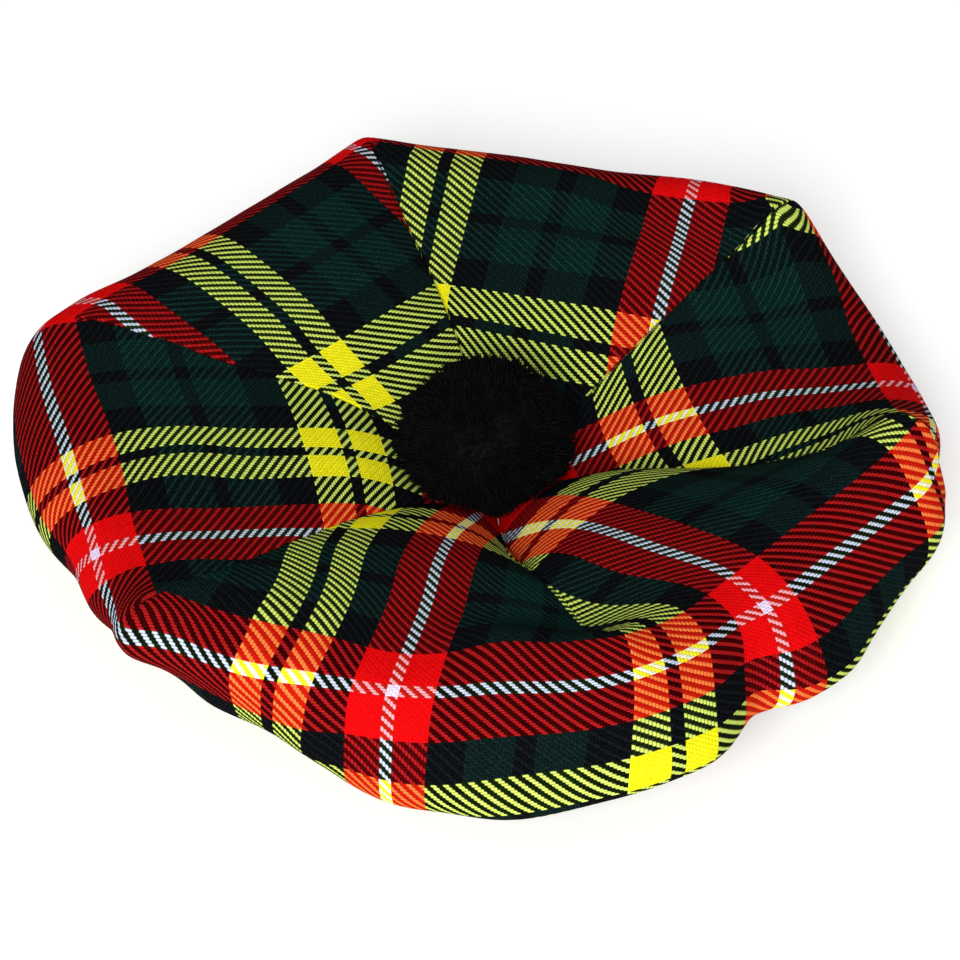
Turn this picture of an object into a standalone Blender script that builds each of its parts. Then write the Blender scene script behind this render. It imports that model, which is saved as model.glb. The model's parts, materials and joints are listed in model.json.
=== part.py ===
"""A six-gored tam o'shanter of twill cloth with a yarn pompom, lying on its headband.

The origin is on the floor under the middle of the crown, +Z is up and the front is towards -Y.
The crown is shaped on twelve lines that run out from its middle: the six seams and the middle of
each gore.  Along a line the cloth keeps its length, and a short table gives its slope.  Past the
rim the cloth turns under and runs back to the headband.
"""

import math
from collections import namedtuple

import bmesh
import bpy
from mathutils import Vector

MM = 0.001

# Headband, the tube that the head goes into
BAND_RADIUS = 92.0 * MM
BAND_HEIGHT = 32.0 * MM
BAND_THICKNESS = 2.6 * MM
BAND_EDGE_RADIUS = 0.7 * MM
BAND_EDGE_STEPS = 2
BAND_STEPS = 48

# Crown cloth
CLOTH_THICKNESS = 2.0 * MM
CROWN_MIDDLE_HEIGHT = 14.0 * MM
CROWN_HOLE = 3.0 * MM
PIECE_GAP = 0.4 * MM
SEAT_GAP = 0.7 * MM

# Where the cloth turns under past the rim, and where it meets the headband
TURN_REACH = 13.0 * MM
TUCK_HEIGHT = 24.0 * MM
TUCK_REACH = 26.0 * MM
TUCK_LENGTH = 72.0 * MM

# Grid of one gore: steps across it, and steps along its crown, its rim and its underside
ACROSS_STEPS = 9
CROWN_STEPS = 8
RIM_STEPS = 10
UNDER_STEPS = 9
OVERRUN = 1.05
WALK_STEP = 1.0 * MM

# Upright blocks that the gores are cut off with
WEDGE_TIP = 1.0 * MM
WEDGE_REACH = 260.0 * MM
WEDGE_STEPS = 16
WEDGE_LOW = -50.0 * MM
WEDGE_HIGH = 150.0 * MM

# Pompom
POMPOM_RADIUS = 29.0 * MM
POMPOM_TOP = 25.0 * MM
POMPOM_BOTTOM = 22.0 * MM
POMPOM_RISE = 20.0 * MM
POMPOM_STEPS = 28

# Places along the cloth, measured out from the middle of the crown, where the tables give a value
STATIONS = [length * MM for length in (0, 30, 61, 90, 112, 131, 145, 160, 172)]
RIM_START = STATIONS[4]
RIM_LENGTH = STATIONS[-1]

# Radius past which a line keeps its direction
SWING_RADIUS = 130.0 * MM

# Half the width of a gore's cloth at each station: a wedge that stops widening at the rim
HALF_WIDTHS = [width * MM for width in (0, 17.3, 35.2, 51, 63, 72, 76, 77, 75)]

# One row for each line: its direction from the middle of the crown, in degrees, near the middle
# and at the rim, and the slope of the cloth along it at each station, in degrees and positive
# where it rises.  The cloth folds deepest at the front seams.
Line = namedtuple("Line", "inner outer middle dish ring flank crest brow face drop edge")
SEAM_LINES = {
    "right": Line(-13, -16, 24, 19, 17, 30, 42, -64, -84, -115, -150),
    "back_right": Line(44, 45, 25, 22, 17, 15, 18, -62, -95, -115, -150),
    "back": Line(103, 108, 28, 28, 12, 15, 13, -38, -75, -105, -150),
    "left": Line(166, 166, 26, 33, 10, 12, 8, -30, -75, -115, -150),
    "front_left": Line(226, 226, 24, 23, 15, 12, 8, -50, -130, -140, -150),
    "front_right": Line(271, 284, 20, 16, 30, 6, 26, -4, -28, -62, -140),
}
GORE_LINES = {
    "gore_right": Line(14, 14, 22, 23, 15, 2, -2, -24, -90, -155, -175),
    "gore_back": Line(76, 76, 27, 34, 22, 11, 10, -32, -70, -105, -150),
    "gore_back_left": Line(136, 136, 27, 35, 24, 10, 9, -34, -72, -105, -150),
    "gore_left": Line(196, 196, 27, 34, 13, 7, 5, -8, -40, -110, -150),
    "gore_front": Line(254, 256, 25, 29, 23, 1, -1, -14, -58, -66, -145),
    "gore_front_right": Line(311, 313, 29, 38, 18, 18, 8, -24, -44, -66, -145),
}

# One row for each dent that the cloth has between its seams: where its middle is, across the gore
# from -1 at one seam to 1 at the next and along the cloth, how wide and long it is, and its depth
Dent = namedtuple("Dent", "gore across along width length depth")
DENTS = [
    Dent("gore_front_right", -0.32, 166 * MM, 0.26, 26 * MM, 10 * MM),
    Dent("gore_front", -0.4, 168 * MM, 0.25, 26 * MM, 4 * MM),
]

# Colours, as linear red, green and blue
RED_CLOTH = (0.42, 0.02, 0.03)
GREEN_CLOTH = (0.01, 0.06, 0.04)
BLACK_CLOTH = (0.02, 0.02, 0.025)
BLACK_YARN = (0.012, 0.012, 0.014)
CLOTH_ROUGHNESS = 0.85


def clear_scene():
    for old in list(bpy.data.objects):
        bpy.data.objects.remove(old, do_unlink=True)


def new_collection(name):
    collection = bpy.data.collections.new(name)
    bpy.context.scene.collection.children.link(collection)
    return collection


def matt_material(name, color):
    material = bpy.data.materials.new(name)
    material.use_nodes = True
    shader = material.node_tree.nodes["Principled BSDF"]
    shader.inputs["Base Color"].default_value = (*color, 1.0)
    shader.inputs["Roughness"].default_value = CLOTH_ROUGHNESS
    shader.inputs["Metallic"].default_value = 0.0
    return material


def add_object(name, bm, collection, color=None):
    """Make an object of a bmesh, with a material of its own."""
    mesh = bpy.data.meshes.new(name)
    bm.to_mesh(mesh)
    bm.free()
    obj = bpy.data.objects.new(name, mesh)
    collection.objects.link(obj)
    if color:
        mesh.materials.append(matt_material(name + "_material", color))
        mesh.shade_smooth()
    return obj


def spread(start, end, count):
    """Evenly spaced values after start, up to and with end."""
    return [start + (end - start) * (i + 1) / count for i in range(count)]


def smooth_value(values, at):
    """Read a smooth curve through the values at the stations."""
    last = len(STATIONS) - 1
    at = min(max(at, STATIONS[0]), STATIONS[last])
    i = max(k for k in range(last) if STATIONS[k] <= at)

    def trend(k):
        low, high = max(k - 1, 0), min(k + 1, last)
        return (values[high] - values[low]) / (STATIONS[high] - STATIONS[low])

    span = STATIONS[i + 1] - STATIONS[i]
    t = (at - STATIONS[i]) / span
    return (
        values[i] * (1 + 2 * t) * (1 - t) ** 2
        + values[i + 1] * t * t * (3 - 2 * t)
        + trend(i) * span * t * (1 - t) ** 2
        - trend(i + 1) * span * t * t * (1 - t)
    )


def walk_line(line, on_seam):
    """Follow the cloth along a line from the middle to the rim, as (radius, height) points."""
    slopes = line[2:]
    points = [Vector((0.0, CROWN_MIDDLE_HEIGHT))]
    for i in range(round(RIM_LENGTH / WALK_STEP)):
        at = (i + 0.5) * WALK_STEP
        slope = math.radians(smooth_value(slopes, at))
        half_step = WALK_STEP / 2
        widening = smooth_value(HALF_WIDTHS, at + half_step) - smooth_value(HALF_WIDTHS, at - half_step)
        length = math.hypot(WALK_STEP, widening) if on_seam else WALK_STEP
        points.append(points[-1] + length * Vector((math.cos(slope), math.sin(slope))))
    return points


def direction(line, radius):
    """Direction of a line at a radius, in radians: it swings over from the middle to the rim."""
    t = min(radius / SWING_RADIUS, 1.0)
    return math.radians(line.inner + (line.outer - line.inner) * t * t * (3 - 2 * t))


def line_place(line, points, along):
    """Direction, radius and height of a line at a length along the cloth."""
    if along <= RIM_LENGTH:
        place = along / WALK_STEP
        i = min(int(place), len(points) - 2)
        flat = points[i].lerp(points[i + 1], place - i)
    else:
        slope = math.radians(line.edge)
        rim = points[-1]
        turn = rim + TURN_REACH * Vector((math.cos(slope), math.sin(slope)))
        seat = Vector((BAND_RADIUS + SEAT_GAP, TUCK_HEIGHT))
        approach = seat + Vector((TUCK_REACH, 0.0))
        t = (along - RIM_LENGTH) / TUCK_LENGTH
        flat = (
            rim * (1 - t) ** 3 + turn * 3 * t * (1 - t) ** 2
            + approach * 3 * t * t * (1 - t) + seat * t ** 3
        )
    return Vector((direction(line, flat.x), flat.x, flat.y))


def upright(place):
    """The point at a direction, a radius and a height."""
    angle, radius, height = place
    return Vector((radius * math.cos(angle), radius * math.sin(angle), height))


def through_three(right, middle, left, across):
    """Value across a gore, on a smooth curve through its two seams and its middle."""
    return (
        right * (across * (across - 1) / 2)
        + middle * (1 - across * across)
        + left * (across * (across + 1) / 2)
    )


def dent_depth(gore, across, along):
    return sum(
        dent.depth * math.exp(-((across - dent.across) / dent.width) ** 2
                              - ((along - dent.along) / dent.length) ** 2)
        for dent in DENTS if dent.gore == gore
    )


def crown_point(gore, lines, across, along):
    """Point of a gore's outer face: straight across the crown, and round the headband below."""
    places = [line_place(line, points, along) for line, points in lines]
    straight = through_three(*[upright(place) for place in places], across)
    turned = upright(through_three(*places, across))
    roundness = min(max((along - RIM_LENGTH) / TUCK_LENGTH, 0.0), 1.0)
    point = straight.lerp(turned, roundness)
    inward = Vector((-point.x, -point.y, 0.0)).normalized()
    return point + inward * dent_depth(gore, across, along)


def wedge_cutter(name, right, left, collection):
    """An upright block that fills one gore's share of the plan, half a gap inside its seams."""
    radii = [WEDGE_TIP] + spread(WEDGE_TIP, WEDGE_REACH, WEDGE_STEPS)
    plan = [(radius, direction(right, radius) + PIECE_GAP / 2 / radius) for radius in radii]
    plan += [(radius, direction(left, radius) - PIECE_GAP / 2 / radius) for radius in reversed(radii)]
    bm = bmesh.new()
    base = [
        bm.verts.new((radius * math.cos(angle), radius * math.sin(angle), WEDGE_LOW))
        for radius, angle in plan
    ]
    face = bm.faces.new(base)
    raised = bmesh.ops.extrude_face_region(bm, geom=[face])["geom"]
    tops = [part for part in raised if isinstance(part, bmesh.types.BMVert)]
    bmesh.ops.translate(bm, verts=tops, vec=(0.0, 0.0, WEDGE_HIGH - WEDGE_LOW))
    bmesh.ops.recalc_face_normals(bm, faces=bm.faces)
    cutter = add_object(name, bm, collection)
    cutter.hide_render = True
    cutter.display_type = "WIRE"
    return cutter


def full_turn_on(line):
    return line._replace(inner=line.inner + 360, outer=line.outer + 360)


def make_gore(name, right, left, color, parts, cutters):
    """One gore: an open sheet over its three lines, given its thickness and cut off at its seams."""
    middle = GORE_LINES[name]
    if left.outer < right.outer:
        left = full_turn_on(left)
    lines = [(line, walk_line(line, line is not middle)) for line in (right, middle, left)]
    rows = [CROWN_HOLE]
    rows += spread(CROWN_HOLE, RIM_START, CROWN_STEPS)
    rows += spread(RIM_START, RIM_LENGTH, RIM_STEPS)
    rows += spread(RIM_LENGTH, RIM_LENGTH + TUCK_LENGTH, UNDER_STEPS)
    bm = bmesh.new()
    bmesh.ops.create_grid(bm, x_segments=ACROSS_STEPS, y_segments=len(rows) - 1, size=1.0)
    for vert in bm.verts:
        row = round((vert.co.y + 1) / 2 * (len(rows) - 1))
        vert.co = crown_point(name, lines, vert.co.x * OVERRUN, rows[row])
    gore = add_object(name, bm, parts, color)
    wall = gore.modifiers.new("cloth thickness", "SOLIDIFY")
    wall.thickness = CLOTH_THICKNESS
    wall.offset = 1.0
    wall.use_even_offset = True
    trim = gore.modifiers.new("seam edges", "BOOLEAN")
    trim.operation = "INTERSECT"
    trim.object = wedge_cutter(name + "_cutter", right, left, cutters)
    return gore


def turn_profile(obj, steps):
    """Turn a profile at +X once round the upright axis."""
    turn = obj.modifiers.new("turned", "SCREW")
    turn.steps = turn.render_steps = steps
    turn.use_merge_vertices = True
    turn.merge_threshold = 0.01 * MM


def make_headband(parts):
    """A turned tube with rounded edges."""
    inner_radius = BAND_RADIUS - BAND_THICKNESS
    corners = [
        (BAND_RADIUS, BAND_HEIGHT), (BAND_RADIUS, 0.0), (inner_radius, 0.0), (inner_radius, BAND_HEIGHT),
    ]
    bm = bmesh.new()
    ring = [bm.verts.new((radius, 0.0, height)) for radius, height in corners]
    for i, vert in enumerate(ring):
        bm.edges.new((ring[i - 1], vert))
    band = add_object("headband", bm, parts, BLACK_CLOTH)
    turn_profile(band, BAND_STEPS)
    edges = band.modifiers.new("rounded edges", "BEVEL")
    edges.width = BAND_EDGE_RADIUS
    edges.segments = BAND_EDGE_STEPS
    return band


def crown_height(radius):
    """The highest that the crown's lines reach at a radius near the middle."""
    heights = []
    for lines, on_seam in ((SEAM_LINES, True), (GORE_LINES, False)):
        for line in lines.values():
            points = walk_line(line, on_seam)
            i = next(k for k in range(1, len(points)) if points[k].x >= radius)
            before, after = points[i - 1], points[i]
            heights.append(before.lerp(after, (radius - before.x) / (after.x - before.x)).y)
    return max(heights)


def make_pompom(parts):
    """A turned ball, flatter below, where it sits in the dish of the crown."""
    middle = CROWN_MIDDLE_HEIGHT + POMPOM_RISE
    bm = bmesh.new()
    previous = None
    half = POMPOM_STEPS // 2
    for i in range(half + 1):
        angle = math.pi / 2 - math.pi * i / half
        radius = POMPOM_RADIUS * math.cos(angle)
        depth = POMPOM_TOP if angle > 0 else POMPOM_BOTTOM
        height = middle + depth * math.sin(angle)
        if angle <= 0:
            height = max(height, crown_height(max(radius, WALK_STEP)) + SEAT_GAP)
        if i in (0, half):
            radius = 0.0
        vert = bm.verts.new((radius, 0.0, height))
        if previous:
            bm.edges.new((previous, vert))
        previous = vert
    pompom = add_object("pompom", bm, parts, BLACK_YARN)
    turn_profile(pompom, POMPOM_STEPS)
    return pompom


def build_hat():
    clear_scene()
    parts = new_collection("tam_o_shanter")
    cutters = new_collection("cutters")
    seams = list(SEAM_LINES.values())
    for i, name in enumerate(GORE_LINES):
        color = GREEN_CLOTH if i % 2 else RED_CLOTH
        make_gore(name, seams[i], seams[(i + 1) % len(seams)], color, parts, cutters)
    make_headband(parts)
    make_pompom(parts)


build_hat()
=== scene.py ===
"""The looks of a six-gored tam o'shanter of tartan twill, with a pompom of black cut yarn.

Lengths are in metres.  The crown is shaped on twelve lines that run out from its middle, the six
seams and the middle of each gore, with the same tables as the solids in the frame, but for one dent
that is narrower.  Every gore has a map of its flat cloth, in metres, and the tartan is woven on that
map thread by thread.
"""

import json
import math
import random
from collections import namedtuple

import bmesh
import bpy
from mathutils import Matrix, Vector, noise
from mathutils.bvhtree import BVHTree

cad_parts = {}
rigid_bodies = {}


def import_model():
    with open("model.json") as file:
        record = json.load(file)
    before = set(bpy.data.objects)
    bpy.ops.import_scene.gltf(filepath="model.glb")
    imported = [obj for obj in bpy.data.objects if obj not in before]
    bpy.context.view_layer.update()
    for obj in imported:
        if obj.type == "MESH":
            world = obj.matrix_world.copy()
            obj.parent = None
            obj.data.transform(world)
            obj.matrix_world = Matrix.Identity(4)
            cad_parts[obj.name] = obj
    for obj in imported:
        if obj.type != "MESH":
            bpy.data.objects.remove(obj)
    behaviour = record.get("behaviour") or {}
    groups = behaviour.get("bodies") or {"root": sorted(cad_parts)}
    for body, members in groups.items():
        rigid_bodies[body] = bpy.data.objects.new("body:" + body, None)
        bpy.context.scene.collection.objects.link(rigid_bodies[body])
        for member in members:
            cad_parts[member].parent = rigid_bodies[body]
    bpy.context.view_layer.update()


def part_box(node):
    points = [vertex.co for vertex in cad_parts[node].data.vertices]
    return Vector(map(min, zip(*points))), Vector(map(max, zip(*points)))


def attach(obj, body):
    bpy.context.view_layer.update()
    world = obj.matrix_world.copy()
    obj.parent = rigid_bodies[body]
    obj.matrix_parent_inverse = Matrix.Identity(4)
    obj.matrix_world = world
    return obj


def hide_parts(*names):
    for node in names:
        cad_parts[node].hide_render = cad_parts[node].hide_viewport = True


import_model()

MM = 0.001

# ---------- Sizes taken from the frame ----------

band_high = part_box("headband")[1]
BAND_RADIUS = band_high.x
BAND_HEIGHT = band_high.z
POMPOM_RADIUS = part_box("pompom")[1].x

# ---------- Shape of the crown, as in the solids ----------

CROWN_MIDDLE_HEIGHT = 14.0 * MM
SEAT_GAP = 0.7 * MM
TURN_REACH = 13.0 * MM
TUCK_HEIGHT = 24.0 * MM
TUCK_REACH = 26.0 * MM
TUCK_LENGTH = 72.0 * MM
WALK_STEP = 1.0 * MM
SWING_RADIUS = 130.0 * MM

# Places along the cloth, measured out from the middle of the crown, where the tables give a value
STATIONS = [length * MM for length in (0, 30, 61, 90, 112, 131, 145, 160, 172)]
RIM_LENGTH = STATIONS[-1]
CLOTH_LENGTH = RIM_LENGTH + TUCK_LENGTH

# Half the width of a gore's cloth at each station, and at the headband
HALF_WIDTHS = [width * MM for width in (0, 17.3, 35.2, 51, 63, 72, 76, 77, 75)]
BAND_HALF_WIDTH = math.pi * (BAND_RADIUS + SEAT_GAP) / 6

# Which way a line runs at the middle of the crown and at the rim, and how steeply its cloth rises at
# each station, all in degrees
Line = namedtuple("Line", "inner outer middle dish ring flank crest brow face drop edge")
SEAM_LINES = {
    "right": Line(-13, -16, 24, 19, 17, 30, 42, -64, -84, -115, -150),
    "back_right": Line(44, 45, 25, 22, 17, 15, 18, -62, -95, -115, -150),
    "back": Line(103, 108, 28, 28, 12, 15, 13, -38, -75, -105, -150),
    "left": Line(166, 166, 26, 33, 10, 12, 8, -30, -75, -115, -150),
    "front_left": Line(226, 226, 24, 23, 15, 12, 8, -50, -130, -140, -150),
    "front_right": Line(271, 284, 20, 16, 30, 6, 26, -4, -28, -62, -140),
}
GORE_LINES = {
    "gore_right": Line(14, 14, 22, 23, 15, 2, -2, -24, -90, -155, -175),
    "gore_back": Line(76, 76, 27, 34, 22, 11, 10, -32, -70, -105, -150),
    "gore_back_left": Line(136, 136, 27, 35, 24, 10, 9, -34, -72, -105, -150),
    "gore_left": Line(196, 196, 27, 34, 13, 7, 5, -8, -40, -110, -150),
    "gore_front": Line(254, 256, 25, 29, 23, 1, -1, -14, -58, -66, -145),
    "gore_front_right": Line(311, 313, 29, 38, 18, 18, 8, -24, -44, -66, -145),
}

# Hollows in the rim: where they lie, how wide and long they are, and how deep
Dent = namedtuple("Dent", "gore across along width length depth")
DENTS = [
    Dent("gore_front_right", -0.40, 166 * MM, 0.18, 26 * MM, 9 * MM),
    Dent("gore_front", -0.4, 168 * MM, 0.25, 26 * MM, 4 * MM),
]

# The crown is one strip of cloth with a V-shaped dart at each seam but the right one, which is sewn
# right through.  Where a dart ends, and how wide a turn the cloth then makes round the rim.
Corner = namedtuple("Corner", "dart_end turn")
NO_END = 1000 * MM
CORNERS = {
    "right": Corner(NO_END, 0.0),
    "back_right": Corner(124 * MM, 13 * MM),
    "back": Corner(127 * MM, 13 * MM),
    "left": Corner(124 * MM, 13 * MM),
    "front_left": Corner(129 * MM, 12 * MM),
    "front_right": Corner(122 * MM, 42 * MM),
}
DART_FADE = 10.0 * MM
UNDER_DARTS = 186.0 * MM
TURN_GROWTH = 22.0 * MM

# Where each gore's middle lies along the strip, from the white line on the first gore, and how
# much of the strip it takes on its left; what is left over to the next gore is that one's right
GoreCloth = namedtuple("GoreCloth", "place left")
GORE_CLOTH = {
    "gore_right": GoreCloth(6.3 * MM, 75.7 * MM),
    "gore_back": GoreCloth(157.1 * MM, 71.1 * MM),
    "gore_back_left": GoreCloth(299.3 * MM, 68.6 * MM),
    "gore_left": GoreCloth(436.6 * MM, 75.4 * MM),
    "gore_front": GoreCloth(589.1 * MM, 69.9 * MM),
    "gore_front_right": GoreCloth(729.1 * MM, 73.5 * MM),
}
FIRST_RIGHT = 73.5 * MM
NARROWING = 1.5 * MM
SPREAD_POWER = 4

# Where the cloth has been pulled along or out, so that its stripes lie off their straight course, in
# millimetres; a pull of nothing holds the pattern where it is
Pull = namedtuple("Pull", "place along by_along_strip out")
PULLS = [Pull(*(size * MM for size in row)) for row in (
    # The front
    (592, 124, -2, -1.5),
    (592, 140, 3, 2.5),
    (595, 160, -4, 1),
    (560, 120, -6, 5),
    (552, 155, 10, -11),
    (556, 138, 0.6, 1.8),
    (540, 134, 0.5, 2.5),
    (620, 148, 0, 2),
    (636, 119, 0, 5),
    (637, 150, 1, 11),
    (642, 134, 0, -3),
    # The front right corner
    (662, 134, -4, 0),
    (677, 134, -6, 0),
    (691, 136, -15, -3),
    (668, 147, 12, 6.5),
    (682, 150, 9, -4),
    (666, 156, 7, 12),
    (679, 159, 18, 10),
    (667, 168, 8.5, 4),
    (672, 104, 6, 0),
    # The front right
    (712, 136, -1.5, 0),
    (712, 164, 3, -3),
    (712, 119, 2, 0),
    (782, 138, 0, -1.5),
    # The right
    (3, 50, -4.7, 1.5),
    (-2, 22, -3, 6),
    (0, 83, 0, 0),
    (-4, 120, 8, 3.5),
    (0, 138, -2, -2.5),
    (61, 96, 13, 0),
    (68, 128, 2, -5),
    # The back
    (119, 115, -1.4, 12),
    (120, 80, -1.6, -1),
    (199, 100, 2, 0),
    (200, 124, 1, -1),
    # The left
    (357, 112, -3, 0),
    (318, 97, 2.5, 0),
    (320, 52, -2, 0),
    (477, 88, -3.2, 0),
    (472, 138, 7, -2.5),
    (436, 119, 9, 3),
    (440, 138, -5, 0),
    (476, 121, -4, 1.5),
)]
PULL_REACH = 20 * MM
PULL_REST = 0.2

# Soft folds of the rim: a line on the strip, how wide it is, and how far it stands out or dips in
Fold = namedtuple("Fold", "place along to_place to_along width rise")
FOLDS = [
    Fold(512 * MM, 134 * MM, 512 * MM, 140 * MM, 18 * MM, 4.0 * MM),
]

# Where the rim is pushed out of its smooth shape as a whole, in millimetres
Push = namedtuple("Push", "place along width length move")
PUSHES = [Push(*(size * MM for size in row[:-1]), Vector(row[-1]) * MM) for row in (
    # The front
    (506, 150, 10, 16, (0.8, 0.6, 0)),
    (520, 146, 18, 22, (-1, 1, 6)),
    (524, 166, 9, 16, (-1.2, -1.2, -1)),
    (547, 176, 12, 20, (0, 1, 2.6)),
    (576, 178, 14, 20, (0, 1, 2.6)),
    (612, 182, 14, 16, (0, 0.6, 1.4)),
    (628, 182, 14, 16, (0, -0.5, -1.2)),
    (646, 182, 12, 16, (0, 0.6, 1)),
    (664, 182, 22, 20, (0, 1, 3.2)),
    (686, 176, 10, 16, (-0.8, 0.8, 0.6)),
    (736, 168, 12, 18, (1.4, -0.8, -0.6)),
    # The lip in front of the hollow
    (622, 117, 18, 12, (0, 0, 5)),
    (656, 119, 20, 12, (0, 0, 6.5)),
    # The right and the back
    (790, 152, 12, 20, (5, -1, 0)),
    (802, 140, 18, 20, (-3.8, 0, 0)),
    (-67, 140, 18, 20, (-3.8, 0, 0)),
    (-44, 140, 12, 18, (-2, 0, 0)),
    (116, 128, 22, 16, (0, 0, 2.6)),
    (228, 130, 18, 16, (0, 0.6, 1.4)),
    # The left
    (352, 134, 12, 16, (-1, 0.8, 0.6)),
    (368, 132, 18, 18, (0.6, 0.3, 0.2)),
    (462, 152, 12, 16, (2.2, 1.2, 0)),
    (486, 152, 10, 16, (-1.4, -0.8, 0)),
)]

# Grid of a gore, how its edges roll into the seams, and the cloth's thickness
FIRST_ROW = 1.5 * MM
ROW_STEP = 1.6 * MM
MIDDLE_COLUMNS = 78
SEAM_GAP = 0.12 * MM
ROLL_RADIUS = 1.0 * MM
ROLL_STEPS = 4
ROLL_SHARE = 0.4
FLANGE_DEPTH = 1.2 * MM
CLOTH_THICKNESS = 1.2 * MM
EDGE_STEP = 0.02
LENGTH_STEPS = 24


def smooth_value(values, at):
    """Read a smooth curve through the values at the stations."""
    last = len(STATIONS) - 1
    at = min(max(at, STATIONS[0]), STATIONS[last])
    i = max(k for k in range(last) if STATIONS[k] <= at)

    def trend(k):
        low, high = max(k - 1, 0), min(k + 1, last)
        return (values[high] - values[low]) / (STATIONS[high] - STATIONS[low])

    span = STATIONS[i + 1] - STATIONS[i]
    t = (at - STATIONS[i]) / span
    return (
        values[i] * (1 + 2 * t) * (1 - t) ** 2
        + values[i + 1] * t * t * (3 - 2 * t)
        + trend(i) * span * t * (1 - t) ** 2
        - trend(i + 1) * span * t * t * (1 - t)
    )


def half_width(along):
    """Half the width of a gore's flat cloth: it narrows again on its way to the headband."""
    if along <= RIM_LENGTH:
        return smooth_value(HALF_WIDTHS, along)
    t = (along - RIM_LENGTH) / TUCK_LENGTH
    return HALF_WIDTHS[-1] + (BAND_HALF_WIDTH - HALF_WIDTHS[-1]) * t


def walk_line(line, on_seam):
    """Follow the cloth along a line from the middle to the rim, as (radius, height) points."""
    slopes = line[2:]
    points = [Vector((0.0, CROWN_MIDDLE_HEIGHT))]
    for i in range(round(RIM_LENGTH / WALK_STEP)):
        at = (i + 0.5) * WALK_STEP
        slope = math.radians(smooth_value(slopes, at))
        half_step = WALK_STEP / 2
        widening = smooth_value(HALF_WIDTHS, at + half_step) - smooth_value(HALF_WIDTHS, at - half_step)
        length = math.hypot(WALK_STEP, widening) if on_seam else WALK_STEP
        points.append(points[-1] + length * Vector((math.cos(slope), math.sin(slope))))
    return points


def direction(line, radius):
    """Direction of a line at a radius, in radians: it swings over from the middle to the rim."""
    t = min(radius / SWING_RADIUS, 1.0)
    return math.radians(line.inner + (line.outer - line.inner) * t * t * (3 - 2 * t))


def line_place(line, points, along):
    """Direction, radius and height of a line at a length along the cloth."""
    if along <= RIM_LENGTH:
        place = along / WALK_STEP
        i = min(int(place), len(points) - 2)
        flat = points[i].lerp(points[i + 1], place - i)
    else:
        slope = math.radians(line.edge)
        rim = points[-1]
        turn = rim + TURN_REACH * Vector((math.cos(slope), math.sin(slope)))
        seat = Vector((BAND_RADIUS + SEAT_GAP, TUCK_HEIGHT))
        approach = seat + Vector((TUCK_REACH, 0.0))
        t = (along - RIM_LENGTH) / TUCK_LENGTH
        flat = (
            rim * (1 - t) ** 3 + turn * 3 * t * (1 - t) ** 2
            + approach * 3 * t * t * (1 - t) + seat * t ** 3
        )
    return Vector((direction(line, flat.x), flat.x, flat.y))


def upright(place):
    """The point at a direction, a radius and a height."""
    angle, radius, height = place
    return Vector((radius * math.cos(angle), radius * math.sin(angle), height))


def through_three(right, middle, left, across):
    """Value across a gore, on a smooth curve through its two seams and its middle."""
    return (
        right * (across * (across - 1) / 2)
        + middle * (1 - across * across)
        + left * (across * (across + 1) / 2)
    )


def dent_depth(gore, across, along):
    """How deep the dents of a gore press its cloth in at a place."""
    return sum(
        dent.depth * math.exp(-((across - dent.across) / dent.width) ** 2
                              - ((along - dent.along) / dent.length) ** 2)
        for dent in DENTS if dent.gore == gore
    )


def crown_point(gore, places, across, along):
    """Point of a gore's outer face: straight across the crown, and round the headband below."""
    straight = through_three(*[upright(place) for place in places], across)
    turned = upright(through_three(*places, across))
    roundness = min(max((along - RIM_LENGTH) / TUCK_LENGTH, 0.0), 1.0)
    point = straight.lerp(turned, roundness)
    inward = Vector((-point.x, -point.y, 0.0)).normalized()
    return point + inward * dent_depth(gore, across, along)


# ---------- Node helpers ----------

def feed(tree, socket, value):
    """Give an input a value, or link it to another node's output."""
    if isinstance(value, bpy.types.NodeSocket):
        tree.links.new(value, socket)
    else:
        socket.default_value = value


def add_node(tree, kind, inputs=(), **settings):
    added = tree.nodes.new(kind)
    for key, value in settings.items():
        setattr(added, key, value)
    for socket, value in dict(inputs).items():
        feed(tree, added.inputs[socket], value)
    return added


# Uneven tones: how fine and how rough their noise is, which of its values give the darkest and the
# lightest tone, and what these tones are
Mottle = namedtuple("Mottle", "scale detail roughness low high dark light")


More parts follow.
